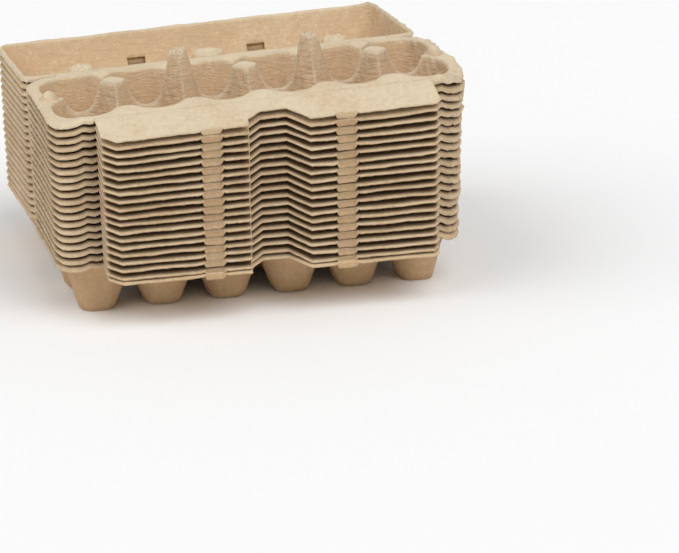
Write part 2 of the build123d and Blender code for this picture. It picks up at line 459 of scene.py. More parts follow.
def shell_mesh(name, shell):
    """Blender mesh of a shell, in metres."""
    vertices, faces, values = shell
    mesh = bpy.data.meshes.new(name)
    mesh.vertices.add(len(vertices))
    mesh.vertices.foreach_set("co", (vertices * MM).ravel())
    mesh.loops.add(faces.size)
    mesh.loops.foreach_set("vertex_index", faces.ravel().astype(np.int32))
    mesh.polygons.add(len(faces))
    mesh.polygons.foreach_set("loop_start", np.arange(0, faces.size, 4, dtype=np.int32))
    mesh.polygons.foreach_set("loop_total", np.full(len(faces), 4, dtype=np.int32))
    mesh.polygons.foreach_set("use_smooth", np.ones(len(faces), bool))
    for value_name, value in values.items():
        mesh.attributes.new(value_name, "FLOAT", "POINT").data.foreach_set("value", value.astype(np.float32))
    mesh.update(calc_edges=True)
    mesh.validate()
    return mesh


# %% [markdown]
# ## Tray, lid and flap as shells
# The lid is a tub whose wall leans out evenly, so its height only depends on the distance from its rim.
# Inside it stand a rib with a round knob, and a boss in each of two panels, with an oval window on both sides
# of the boss to show the eggs. The flap is a strip bent down at the fold. Its free edge has a wide notch for
# the thumb, and a small button on each side locks into a slot of the lid. Rims hang loose and can wave,
# except at a fold, and their outer band was pressed smooth.

# %% Tray shell
LOOSE_REACH = 14.0
LEFT_HOLD = 0.6
END_BAND = (126.0, 138.0)
RIM_PRESS = 0.9
RIM_PRESS_FADE = (4.0, 2.0)
WALL_ROUGH = 0.4
END_ROUGH = 1.8
POST_FADE = (22.0, 12.0)
POST_TURN = 2.0
POST_RIGHT_SHARE = 0.25
TRAY_SHADE_PAINT_BAND = (0.4, 3.0)


def hanging(x, edge):
    """How loose a rim hangs at a distance inwards from its outline. The left end is held more."""
    return ramp(edge, LOOSE_REACH, 0.0) * (1 - LEFT_HOLD * ramp(-x, *END_BAND))


def pressed_rim(edge):
    """How smooth a rim was pressed at a distance inwards from its outline."""
    return RIM_PRESS * ramp(edge, *RIM_PRESS_FADE)


def tray_shell(step):
    """Shell of the tray on a grid of this step."""
    stops_x = [side * (RIM_LENGTH / 2 - inset) for side in (-1, 1) for inset in EDGE_LINES]
    stops_y = [side * (RIM_WIDTH / 2 - inset) for side in (-1, 1) for inset in EDGE_LINES]
    lines_x = grid_lines(-RIM_LENGTH / 2, RIM_LENGTH / 2, step, stops_x)
    lines_y = grid_lines(-RIM_WIDTH / 2, RIM_WIDTH / 2, step, stops_y)
    x, y = np.meshgrid(lines_x, lines_y, indexing="ij")
    x, y = round_corners(x, y, RIM_LENGTH, RIM_WIDTH, FRONT_CORNER, BACK_CORNER)
    points = np.stack([x, y, tray_height(x, y)], axis=2)
    edge = tray_edge(x, y)
    from_post = x - np.rint(x / CELL_PITCH) * CELL_PITCH
    post_side = POST_RIGHT_SHARE + (1 - POST_RIGHT_SHARE) * ramp(from_post, POST_TURN, -POST_TURN)
    on_post = ramp(np.abs(y), *POST_FADE) * post_side
    rough = WALL_ROUGH + (1 - WALL_ROUGH) * np.maximum(on_post, END_ROUGH * ramp(x, *END_BAND))
    loose = hanging(x, edge) * (1 - folds(x, y))
    # Painted shade over the tray's inside, beyond a narrow band at its outline, where the next tray covers it
    painted_shade = ramp(edge, *TRAY_SHADE_PAINT_BAND)
    keep = all_squares(lines_x, lines_y)
    return pulp_shell(points, keep, loose, painted_shade, rough, tray_crest(x, y), pressed_rim(edge))


# %% Sizes of the lid
LID_MIDDLE = HINGE_LIP + LID_WIDTH / 2
LID_FAR = HINGE_LIP + LID_WIDTH
LID_LINES = (16.0, 18.0)
LID_FLANGE = 2.8
LID_ROLL = 3.6
LID_RIM = 0.4
LID_RIM_ROUND = 2.0
LID_WALL_ROUND = 6.0
LID_STEEP_SHEET = 1.2
LID_ROUGH = 0.25
LID_END_IN = (18.0, 6.0)
# Strength and band of the painted shade inside a covered lid
LID_SHADE_PAINT = 0.75
LID_SHADE_PAINT_BAND = (1.6, 4.0)
SEAM = 0.7
SEAM_X = 4.0
SEAM_REACH = 1.1
FAR_WALL_BAND = (34.0, 44.0)

FITTING_DRAFT = 0.42
FITTING_ROUND = 3.0
RIB_HEIGHT = 11.0
RIB_HALF = 2.6
RIB_DRAFT = 0.45
RIB_SAG = 2.0
RIB_SAG_REACH = 30.0
KNOB_HEIGHT = 21.0
KNOB_REACH = 10.0
KNOB_DIMPLE = 1.6
KNOB_DIMPLE_REACH = 4.0
BOSS_X = 95.0
BOSS_HEIGHT = 21.0
BOSS_TOP = 20.0
BOSS_REACH = 7.0
BOSS_STRETCH = (1.1, 1.2)
BOSS_CRUMPLE = 1.3
BOSS_RIPPLES = (0.8, 0.6)
BOSS_ROUND = 2.5
PANEL_HALF = (24.0, 16.0)
PANEL_DEPTH = 1.3
PANEL_EDGE = 1.2
WINDOW_SHIFT = 16.0
WINDOW_HALF = (5.6, 9.5)
SNAP_SHARE = 0.55
SLOT_X = 45.5
SLOT_HALF = 7.0
SLOT_IN = (11.4, 13.8)
SLOT_FADE_X = (14.0, 9.0)
SLOT_BAND_W = (20.0, 26.0)

LIP_OVER = (0.4, 0.8)
LIP_LINES = 7
LIP_SHEET = 1.2
LIP_DROP = 0.25
GROOVE = 0.7
GROOVE_V = 0.6
GROOVE_REACH = 0.7
print("lid", LID_LENGTH, "by", LID_WIDTH, "by", LID_DEPTH)


# %% Height map of the lid
def lid_fittings(x, w, floor):
    """Height of the lid's floor with its rib, its knob, and its bosses in their sunk panels."""
    rib = RIB_HEIGHT - np.maximum(np.abs(x) - RIB_HALF, 0) / RIB_DRAFT - RIB_SAG * swell(w, RIB_SAG_REACH)
    reach = np.hypot(x, w)
    knob_side = KNOB_HEIGHT - np.maximum(reach - KNOB_REACH, 0) / FITTING_DRAFT
    knob_top = KNOB_HEIGHT - KNOB_DIMPLE * swell(reach, KNOB_DIMPLE_REACH)
    floor = soft_max(floor, rib - LID_DEPTH, FITTING_ROUND)
    floor = soft_max(floor, np.minimum(knob_side, knob_top) - LID_DEPTH, FITTING_ROUND)
    for side in (-1, 1):
        dx = x - side * BOSS_X
        from_panel = np.maximum(np.abs(dx) - PANEL_HALF[0], np.abs(w) - PANEL_HALF[1])
        floor = floor - PANEL_DEPTH * ramp(from_panel, PANEL_EDGE, -PANEL_EDGE)
        from_boss = np.hypot(dx / BOSS_STRETCH[0], w / BOSS_STRETCH[1])
        boss_side = BOSS_HEIGHT - np.maximum(from_boss - BOSS_REACH, 0) / FITTING_DRAFT
        crumple = BOSS_CRUMPLE * np.sin(dx * BOSS_RIPPLES[0] + side) * np.cos(w * BOSS_RIPPLES[1])
        floor = soft_max(floor, np.minimum(boss_side, BOSS_TOP + crumple) - LID_DEPTH, BOSS_ROUND)
    return floor


def lid_height(x, w, edge, fittings):
    """Height of the lid's inner face over its rim, x and w from its middle and edge from its outline."""
    floor = np.full_like(x, -LID_DEPTH)
    if fittings:
        floor = lid_fittings(x, w, floor)
    wall = soft_max(floor, (LID_FLANGE - edge) / LID_SLOPE, LID_WALL_ROUND)
    wall = wall + SEAM * ramp(w, *FAR_WALL_BAND) * swell(x - SEAM_X, SEAM_REACH)
    rim = soft_min(wall, np.full_like(wall, LID_RIM), LID_RIM_ROUND)
    return rim - LID_ROLL * np.clip(1 - edge / LID_FLANGE, 0, 1) ** 2


# %% Holes of the lid
def snap_to_window(x, w, centre, step):
    """Move the grid points next to a window's edge onto it, so that the hole has a clean edge."""
    dx = x - centre
    size = np.hypot(dx / WINDOW_HALF[0], w / WINDOW_HALF[1]) + NO_ZERO
    near = np.abs(size - 1) * min(WINDOW_HALF) < SNAP_SHARE * step
    return np.where(near, centre + dx / size, x), np.where(near, w / size, w)


def lid_holes(x, w, step):
    """Grid that follows the windows, and marks for the squares that lie in no window and no slot."""
    windows = [side * BOSS_X + shift for side in (-1, 1) for shift in (-WINDOW_SHIFT, WINDOW_SHIFT)]
    for window in windows:
        x, w = snap_to_window(x, w, window, step)
    mid_x = (x[:-1, :-1] + x[1:, 1:] + x[1:, :-1] + x[:-1, 1:]) / 4
    mid_w = (w[:-1, :-1] + w[1:, 1:] + w[1:, :-1] + w[:-1, 1:]) / 4
    keep = np.ones(mid_x.shape, bool)
    for window in windows:
        keep &= np.hypot((mid_x - window) / WINDOW_HALF[0], mid_w / WINDOW_HALF[1]) > 1.0
    in_wall = LID_WIDTH / 2 - mid_w
    in_slot = (in_wall > SLOT_IN[0]) & (in_wall < SLOT_IN[1])
    keep &= ~(in_slot & (np.abs(np.abs(mid_x) - SLOT_X) < SLOT_HALF))
    return x, w, keep


# %% Lid shell
def hinge_lip(step):
    """Shell of the thin lip with its pressed groove, between the tray's rim and the lid's."""
    lines_x = grid_lines(-HINGE_LENGTH / 2, HINGE_LENGTH / 2, 2 * step)
    lines_v = np.linspace(-LIP_OVER[0], HINGE_LIP + LIP_OVER[1], LIP_LINES)
    x, v = np.meshgrid(lines_x, lines_v, indexing="ij")
    points = np.stack([x, v, -GROOVE * swell(v - GROOVE_V, GROOVE_REACH) - LIP_DROP], axis=2)
    plain = np.zeros_like(x)
    return pulp_shell(points, all_squares(lines_x, lines_v), plain, plain, plain, flat_sheet=LIP_SHEET)


def lid_shell(step, fittings, covered=1.0):
    """Shell of the lid with its hinge lip, hanging from the fold at the back of the tray."""
    stops_x = [side * SLOT_X + end for side in (-1, 1) for end in (-SLOT_HALF, SLOT_HALF)]
    stops_v = [HINGE_LIP + LID_LINES[0]] + [LID_FAR - inset for inset in (LID_LINES[1], *SLOT_IN)]
    lines_x = grid_lines(-LID_LENGTH / 2, LID_LENGTH / 2, step, stops_x)
    lines_v = grid_lines(HINGE_LIP, LID_FAR, step, stops_v)
    x, v = np.meshgrid(lines_x, lines_v, indexing="ij")
    x, w = round_corners(x, v - LID_MIDDLE, LID_LENGTH, LID_WIDTH, LID_CORNER, LID_CORNER)
    keep = all_squares(lines_x, lines_v)
    if fittings:
        x, w, keep = lid_holes(x, w, step)
    edge = inside_depth(x, w, LID_LENGTH, LID_WIDTH, LID_CORNER)
    points = np.stack([x, w + LID_MIDDLE, lid_height(x, w, edge, fittings)], axis=2)
    at_end = ramp(x, LID_LENGTH / 2 - LID_END_IN[0], LID_LENGTH / 2 - LID_END_IN[1])
    rough = LID_ROUGH + (1 - LID_ROUGH) * at_end
    # Painted shade inside the lid where the next lid covers it, scaled by covered, and left off behind the
    # two slots
    behind_slot = ramp(np.abs(np.abs(x) - SLOT_X), *SLOT_FADE_X) * ramp(w, *SLOT_BAND_W)
    painted_shade = LID_SHADE_PAINT * covered * ramp(edge, *LID_SHADE_PAINT_BAND) * (1 - behind_slot)
    pressed = pressed_rim(edge)
    loose = hanging(x, edge)
    tub = pulp_shell(points, keep, loose, painted_shade, rough, pressed=pressed, steep_sheet=LID_STEEP_SHEET)
    vertices, faces, values = join_shells([tub, hinge_lip(step)])
    droop = math.radians(LID_DROOP)
    y = vertices[:, 1] * math.cos(droop) + vertices[:, 2] * math.sin(droop)
    z = vertices[:, 2] * math.cos(droop) - vertices[:, 1] * math.sin(droop)
    return np.stack([vertices[:, 0], y + RIM_WIDTH / 2, z + RIM], axis=1), faces, values


# %% Flap shell
FLAP_FOLD = 5.0
FLAP_OVER = 0.3
FLAP_STIFF = 2.0
FLAP_ROUGH = 0.25
# Bands of the painted shade on a covered flap: behind its free edge, and faded out at its ends
FLAP_SHADE_PAINT_BAND = (0.4, 4.5)
FLAP_SHADE_SIDE_BAND = (0.2, 2.0)
FEWEST_LINES = 10
EVEN_SHARE = 0.9
EDGE_SHARES = (0.925, 0.95, 0.975, 1.0)
BUTTON_X = 47.5
BUTTON_SHIFT = 3.5
BUTTON_WIDTH = 13.0
BUTTON_EDGE = 0.7
BUTTON_DROP = 4.2
BUTTON_IN = 2.6
BUTTON_TURN = 2.3
BUTTON_BACK = 2.0
NOTCH_LEFT = (-18.1, -17.1, -6.8)
NOTCH_LEFT_SHARES = (0.0, 0.45, 1.0)
NOTCH_RIGHT = (11.8, 25.5)
NOTCH_DEPTH = 14.0
LEFT_BEVEL = (9.0, 7.0)
RIGHT_BEVEL = (4.0, 3.5)


def flap_lines(step):
    """Lines along the flap that pass through the ends of its bevels, its notch and its buttons."""
    half = FLAP_ROOT / 2
    stops = [LEFT_BEVEL[0] - half, half - RIGHT_BEVEL[0], *NOTCH_LEFT, *NOTCH_RIGHT]
    for button in (BUTTON_SHIFT - BUTTON_X, BUTTON_SHIFT + BUTTON_X):
        for end in (button - BUTTON_WIDTH / 2, button + BUTTON_WIDTH / 2):
            stops += [end - BUTTON_EDGE, end + BUTTON_EDGE]
    return grid_lines(-half, half, step, stops)


def flap_reach(x):
    """Length of the flap from its fold to its free edge, which has two bevels and a notch."""
    half = FLAP_ROOT / 2
    left_side = np.interp(x, NOTCH_LEFT, NOTCH_LEFT_SHARES)
    notch = np.minimum(left_side, np.interp(x, NOTCH_RIGHT, (1.0, 0.0)))
    bevel_ends = (-half, LEFT_BEVEL[0] - half, half - RIGHT_BEVEL[0], half)
    bevel = np.interp(x, bevel_ends, (LEFT_BEVEL[1], 0.0, 0.0, RIGHT_BEVEL[1]))
    return FLAP_LENGTH - NOTCH_DEPTH * notch - bevel


def flap_shell(step, slope=FLAP_SLOPE, covered=1.0):
    """Shell of the locking flap, bent down from the front of the rim."""
    lines_x = flap_lines(step)
    even_lines = np.linspace(0, EVEN_SHARE, max(FEWEST_LINES, round(FLAP_LENGTH / step)))
    shares = np.append(even_lines, EDGE_SHARES)
    x, share = np.meshgrid(lines_x, shares, indexing="ij")
    reach = flap_reach(x)
    run = share * reach - FLAP_OVER
    bend = math.radians(slope)
    radius = FLAP_FOLD / bend
    turned = np.clip(run, 0, FLAP_FOLD) / radius
    past_fold = np.maximum(run - FLAP_FOLD, 0)
    y = -RIM_WIDTH / 2 - np.where(run < 0, run, np.sin(turned) * radius) - past_fold * math.cos(bend)
    z = RIM - FOLD_ROLL - (1 - np.cos(turned)) * radius - past_fold * math.sin(bend)
    from_button = np.abs(np.abs(x - BUTTON_SHIFT) - BUTTON_X)
    on_button = ramp(BUTTON_WIDTH / 2 + BUTTON_EDGE - from_button, 0.0, 2 * BUTTON_EDGE)
    turned_down = on_button * np.clip((run - FLAP_LENGTH + BUTTON_IN) / BUTTON_TURN, 0, 1)
    points = np.stack([x, y + BUTTON_BACK * turned_down, z - BUTTON_DROP * turned_down], axis=2)
    loose = ramp(run, FLAP_STIFF, FLAP_LENGTH)
    # Painted shade on the flap behind its free edge, where the next flap covers it, faded out at its two ends
    painted_shade = covered * ramp(reach - run, *FLAP_SHADE_PAINT_BAND) * ramp(FLAP_ROOT / 2 - np.abs(x), *FLAP_SHADE_SIDE_BAND)
    rough = np.full_like(x, FLAP_ROUGH)
    keep = all_squares(lines_x, shares)
    return pulp_shell(points[:, ::-1], keep, loose[:, ::-1], painted_shade[:, ::-1], rough)


# %% [markdown]
# ## Six forms
# The top carton is finest, and its tray, lid and flap are forms of their own. The nested form serves every
# carton that is covered. Two cartons differ from it. Nothing lies below the flap of the first one, so it
# hangs less steeply, and its feet can be seen. The second from the top shows its lid and its flap once those
# of the top carton are folded over, so its lid has the fittings, and both get little or no painted shade.

# %% Meshes of the forms
TOP_STEP = 0.9
TOP_SIDE_STEP = 1.3
NEST_STEP = 2.6
NEST_FLAP_STEP = 2.0
SHOWN_STEP = 1.8
SHOWN_FLAP_STEP = 1.6
FIRST_FLAP_SLOPE = 15.0
# How much painted shade the second carton's lid and flap get
SECOND_LID_SHADE_PAINT = 0.0
SECOND_FLAP_SHADE_PAINT = 0.35

first_flap = flap_shell(SHOWN_FLAP_STEP, FIRST_FLAP_SLOPE)
second_lid = lid_shell(SHOWN_STEP, True, SECOND_LID_SHADE_PAINT)
second_flap = flap_shell(SHOWN_FLAP_STEP, covered=SECOND_FLAP_SHADE_PAINT)
forms = {
    "top_tray": [tray_shell(TOP_STEP)],
    "top_lid": [lid_shell(TOP_SIDE_STEP, True)],
    "top_flap": [flap_shell(TOP_SIDE_STEP)],
    "nested": [tray_shell(NEST_STEP), lid_shell(NEST_STEP, False), flap_shell(NEST_FLAP_STEP)],
    "first": [tray_shell(SHOWN_STEP), lid_shell(SHOWN_STEP, False), first_flap],
    "second": [tray_shell(NEST_STEP), second_lid, second_flap],
}
meshes = {name: shell_mesh(name + "_form", join_shells(shells)) for name, shells in forms.items()}
for mesh in meshes.values():
    print(mesh.name, len(mesh.polygons), "faces")

# %% [markdown]
# ## The pulp
# Moulded pulp is grey-brown paper fibre that was sucked onto a wire mould and dried. Flats that were pressed
# are paler and smoother. Steep walls and torn tips are browner and shaggy. Three effects are shared by every
# carton, so each is a node group: the fibres, the mottled tone, and the tiny dark and bright flecks.


# %% Nodes
def feed(tree, node, values):
    """Feed the inputs of a node from sockets, or set them to values."""
    for slot, value in values.items():
        if isinstance(value, bpy.types.NodeSocket):
            tree.links.new(value, node.inputs[slot])
        else:
            node.inputs[slot].default_value = value


def add_node(tree, kind, values, **settings):
    """New node with some settings and its inputs fed; gives its outputs."""
    node = tree.nodes.new(kind)
    for name, setting in settings.items():
        setattr(node, name, setting)
    feed(tree, node, values)
    return node.outputs


def math_node(tree, operation, first, second):
    """Sum, product or the like of two sockets or numbers."""
    return add_node(tree, "ShaderNodeMath", {0: first, 1: second}, operation=operation)[0]


def noise_node(tree, vector, scale, detail, roughness=0.6):
    """Factor of a noise texture on a vector."""
    values = {"Vector": vector, "Scale": scale, "Detail": detail, "Roughness": roughness}
    return add_node(tree, "ShaderNodeTexNoise", values)["Fac"]


def mapped(tree, vector, turn, scale):
    """Vector turned and stretched, for a texture that runs one way."""
    values = {"Vector": vector, "Rotation": turn, "Scale": scale}
    return add_node(tree, "ShaderNodeMapping", values)["Vector"]


def new_group(name, inputs, outputs):
    """Empty shader node group with named numbers in and out; gives it and its inner inputs."""
    group = bpy.data.node_groups.new(name, "ShaderNodeTree")
    for label, default in inputs.items():
        socket = group.interface.new_socket(name=label, in_out="INPUT", socket_type="NodeSocketFloat")
        socket.default_value = default
    for label in outputs:
        group.interface.new_socket(name=label, in_out="OUTPUT", socket_type="NodeSocketFloat")
    return group, add_node(group, "NodeGroupInput", {})


# %% Fibres
STRAND_TURNS = ((0.3, 0.5, 0.2), (1.4, 0.3, 1.0), (0.8, 1.2, 2.1))
STRAND_SCALE = (160.0, 1100.0, 1100.0)
DRAG_TURN = (0.0, 0.0, 0.0)
DRAG_SCALE = (110.0, 110.0, 480.0)
DRAG_HEIGHT = 1.6
GRAIN_SCALE = 1400.0
GRAIN_HEIGHT = 0.35
LUMP_SCALE = 190.0
LUMP_HEIGHT = 0.9


def fibre_group():
    """Height of the surface: matted fibres lying every way and drag marks, over soft lumps."""
    group, given = new_group("pulp_fibres", {"Shag": 1.0}, ("Height", "Strands"))
    calc = partial(math_node, group)
    noise = partial(noise_node, group)
    place = add_node(group, "ShaderNodeTexCoord", {})["Object"]
    strands = 0.0
    for turn in STRAND_TURNS:
        strand = noise(mapped(group, place, turn, STRAND_SCALE), scale=1.0, detail=2.0)
        strands = calc("MAXIMUM", strands, strand)
    drag = noise(mapped(group, place, DRAG_TURN, DRAG_SCALE), scale=1.0, detail=3.0)
    marks = calc("MULTIPLY", drag, DRAG_HEIGHT)
    grain = calc("MULTIPLY", noise(place, GRAIN_SCALE, detail=3.0), GRAIN_HEIGHT)
    lumps = calc("MULTIPLY", noise(place, LUMP_SCALE, detail=3.0), LUMP_HEIGHT)
    shaggy = calc("MULTIPLY", calc("ADD", strands, marks), given["Shag"])
    height = calc("ADD", calc("ADD", shaggy, grain), lumps)
    add_node(group, "NodeGroupOutput", {"Height": height, "Strands": strands})
    return group


# %% Mottled tone and flecks
BROAD_SCALE = 22.0
BROAD_SHARE = 0.9
CLOSE_SCALE = 240.0
CLOSE_ROUGHNESS = 0.7
MIDDLE_TONE = 0.95
FLECK_SCALES = {"Dark": 620.0, "Bright": 480.0}
FLECK_LEVELS = {"Dark": 0.69, "Bright": 0.66}
FLECK_ROUGHNESS = 0.5
FLECK_SHARPNESS = 14.0


def mottle_group():
    """Slow changes of tone across a carton, from uneven stock and drying."""
    group, given = new_group("pulp_mottle", {"Spread": 0.2}, ("Tone",))
    calc = partial(math_node, group)
    place = add_node(group, "ShaderNodeTexCoord", {})["Object"]
    broad = noise_node(group, place, BROAD_SCALE, detail=3.0)
    close = noise_node(group, place, CLOSE_SCALE, detail=4.0, roughness=CLOSE_ROUGHNESS)
    both = calc("ADD", calc("MULTIPLY", broad, BROAD_SHARE), close)
    tone = calc("MULTIPLY", calc("SUBTRACT", both, MIDDLE_TONE), given["Spread"])
    add_node(group, "NodeGroupOutput", {"Tone": tone})
    return group


def fleck_group():
    """Masks of dark specks and bright fibres in the stock."""
    group, given = new_group("pulp_flecks", {"Amount": 0.5}, FLECK_SCALES)
    calc = partial(math_node, group)
    place = add_node(group, "ShaderNodeTexCoord", {})["Object"]
    masks = {}
    for label, scale in FLECK_SCALES.items():
        noise = noise_node(group, place, scale, detail=2.0, roughness=FLECK_ROUGHNESS)
        sharp = calc("MULTIPLY", calc("SUBTRACT", noise, FLECK_LEVELS[label]), FLECK_SHARPNESS)
        mask = add_node(group, "ShaderNodeClamp", {"Value": sharp})[0]
        masks[label] = calc("MULTIPLY", mask, given["Amount"])
    add_node(group, "NodeGroupOutput", masks)
    return group


fibres = fibre_group()
mottle = mottle_group()
flecks = fleck_group()
print("node groups", [group.name for group in (fibres, mottle, flecks)])

# %% [markdown]
# ## The finish of a carton
# The colour starts between a brown and a pale tone, by how flat the pulp lies. Crests are paler, as rubbed
# wear and as a painted highlight, valleys are browner as painted shade, blotches are browner, and blooms,
# flecks and strands come on top. Hardly any light reaches what lies under the next carton. In such narrow
# gaps a renderer is slow and noisy, so painted shade darkens the colour there as well.


# %% Colours
def mix_colour(tree, factor, first, second):
    """Mix of two colours, each a socket or a colour, by a socket."""
    node = tree.nodes.new("ShaderNodeMix")
    node.data_type = "RGBA"
    slots = {item.name: k for k, item in enumerate(node.inputs) if item.type == "RGBA"}
    feed(tree, node, {"Factor": factor, slots["A"]: first, slots["B"]: second})
    return [item for item in node.outputs if item.type == "RGBA"][0]


def tinted(colour, strength):
    """Colour made darker or brighter, up to full."""
    return (*[min(1.0, part * strength) for part in colour], 1.0)


# %% Pulp material
LYING_FLAT = (0.45, 0.97)
MOTTLE_SPREAD = 0.55
FLECK_AMOUNT = 0.45
VALLEY_SHADE = 0.45
VALLEY_SHADE_TINT = 0.72
BLOTCH = 2.6
BLOTCH_TINT = 0.8
BLOOM = 1.6
BRIGHT_TINT = 1.25
FLECK_TINT = 0.55
STRAND_LEVEL = 0.5
STRAND_SHARE = 0.5
# Colour of the painted shade under the next carton: the brown, deepened and darkened
SHADE_PAINT_POWER = 1.5
SHADE_PAINT_TINT = 0.32
SHAG = 1.8
LEAST_SHAG = 0.25
ROUGHNESS = 0.86
STEEP_ROUGHER = 0.1
SPECULAR = 0.18
BUMP_STRENGTH = 0.55
BUMP_HEIGHT = 1.0


def pulp_material(name, pale, brown, shade):
    """Moulded pulp: pale on flats, browner and shaggier on steep walls, darker by painted shade under the
    next carton.
    """
    material = bpy.data.materials.new(name)
    material.use_nodes = True
    tree = material.node_tree
    calc = partial(math_node, tree)
    mix = partial(mix_colour, tree)

    def kept(value):
        return add_node(tree, "ShaderNodeAttribute", {}, attribute_name=value)["Fac"]

    tone = add_node(tree, "ShaderNodeGroup", {"Spread": MOTTLE_SPREAD}, node_tree=mottle)["Tone"]
    fleck = add_node(tree, "ShaderNodeGroup", {"Amount": FLECK_AMOUNT}, node_tree=flecks)
    lies = {"Value": calc("ADD", kept("flat"), tone), "From Min": LYING_FLAT[0], "From Max": LYING_FLAT[1]}
    lying = add_node(tree, "ShaderNodeMapRange", lies)["Result"]
    steep = calc("SUBTRACT", 1.0, lying)
    shaggy = calc("ADD", calc("MULTIPLY", calc("MULTIPLY", steep, SHAG), kept("rough")), LEAST_SHAG)
    fibre = add_node(tree, "ShaderNodeGroup", {"Shag": shaggy}, node_tree=fibres)
    bump_values = {"Height": fibre["Height"], "Strength": BUMP_STRENGTH, "Distance": BUMP_HEIGHT * MM}

    crest = kept("crest")
    bright = tinted(pale, BRIGHT_TINT)
    colour = mix(lying, tinted(brown, 1.0), tinted(pale, 1.0))
    # Paler on crests: partly rubbed wear, partly a painted highlight along the ridges
    colour = mix(calc("MAXIMUM", crest, 0.0), colour, tinted(pale, 1.0))
    # Painted shade: browner in valleys, where shade falls in the hollows
    valley = calc("MULTIPLY", calc("MINIMUM", crest, 0.0), -VALLEY_SHADE)
    colour = mix(valley, colour, tinted(brown, VALLEY_SHADE_TINT))
    blotch = calc("MAXIMUM", calc("MULTIPLY", tone, -BLOTCH), 0.0)
    colour = mix(blotch, colour, tinted(brown, BLOTCH_TINT))
    bloom = calc("MAXIMUM", calc("MULTIPLY", tone, BLOOM), 0.0)
    colour = mix(bloom, colour, bright)
    colour = mix(fleck["Dark"], colour, tinted(brown, FLECK_TINT))
    colour = mix(fleck["Bright"], colour, bright)
    strand = calc("MULTIPLY", calc("SUBTRACT", fibre["Strands"], STRAND_LEVEL), STRAND_SHARE)
    colour = mix(strand, colour, bright)
    # Painted shade: the colour turns to that dark brown by the painted_shade mask times shade
    painted_shade_colour = tinted([part**SHADE_PAINT_POWER for part in brown], SHADE_PAINT_TINT)
    colour = mix(calc("MULTIPLY", kept("painted_shade"), shade), colour, painted_shade_colour)

    finish = {
        "Base Color": colour,
        "Roughness": calc("ADD", calc("MULTIPLY", steep, STEEP_ROUGHER), ROUGHNESS),
        "Specular IOR Level": SPECULAR,
        "Normal": add_node(tree, "ShaderNodeBump", bump_values)["Normal"],
    }
    feed(tree, tree.nodes["Principled BSDF"], finish)
    return material


# Strength of the painted shade in each pulp
COVERED_SHADE_PAINT = 0.95
UNCOVERED_SHADE_PAINT = 0.0
# The pulps of the lower cartons are browner and darker than the top one, as painted shade for the gaps
# between the cartons; pulp_shaded is a still darker copy, given to cartons at random
pulps = {
    "top": pulp_material("pulp_top", (0.68, 0.563, 0.4), (0.64, 0.458, 0.285), UNCOVERED_SHADE_PAINT),
    "nested": pulp_material("pulp_nested", (0.67, 0.515, 0.335), (0.57, 0.39, 0.225), COVERED_SHADE_PAINT),
    "shaded": pulp_material("pulp_shaded", (0.64, 0.48, 0.305), (0.53, 0.355, 0.2), COVERED_SHADE_PAINT),
    "first": pulp_material("pulp_first", (0.65, 0.485, 0.305), (0.56, 0.375, 0.21), UNCOVERED_SHADE_PAINT),
}
print("pulp materials", [material.name for material in pulps.values()])

# %% [markdown]
# ## Nesting
# Most covered cartons share one form, and yet no two look alike: edges wave and fray, flaps sag and walls
# are lumpy. Plain copies would repeat the same bumps. A Geometry Nodes tree takes a form and moves its loose
# edges and its steep walls by noise, with a seed for each carton. It pushes the right end in a little, where
# the pile is crushed, makes the lower cartons a little shorter, leans each one and lifts it to its level.

# %% Nesting tree
WAVE_SCALE = 26.0
RIPPLE_SCALE = 95.0
RIPPLE_POWER = 3.0
FRAY_SCALE = 420.0
FRAY = 1.3
LEAST_FRAY = 0.3
CRUMPLE_SCALE = 300.0
STEEPEST = 1.08
CRUSH_FROM = 121.0
NOISE_MIDDLE = (0.5, 0.5, 0.5)
TREE_INPUTS = {
    "NodeSocketFloat": ("Seed", "Edge Wave", "Ripple", "Crumple", "End Crush"),
    "NodeSocketVector": ("Size", "Turn", "Place"),
    "NodeSocketMaterial": ("Pulp",),
}


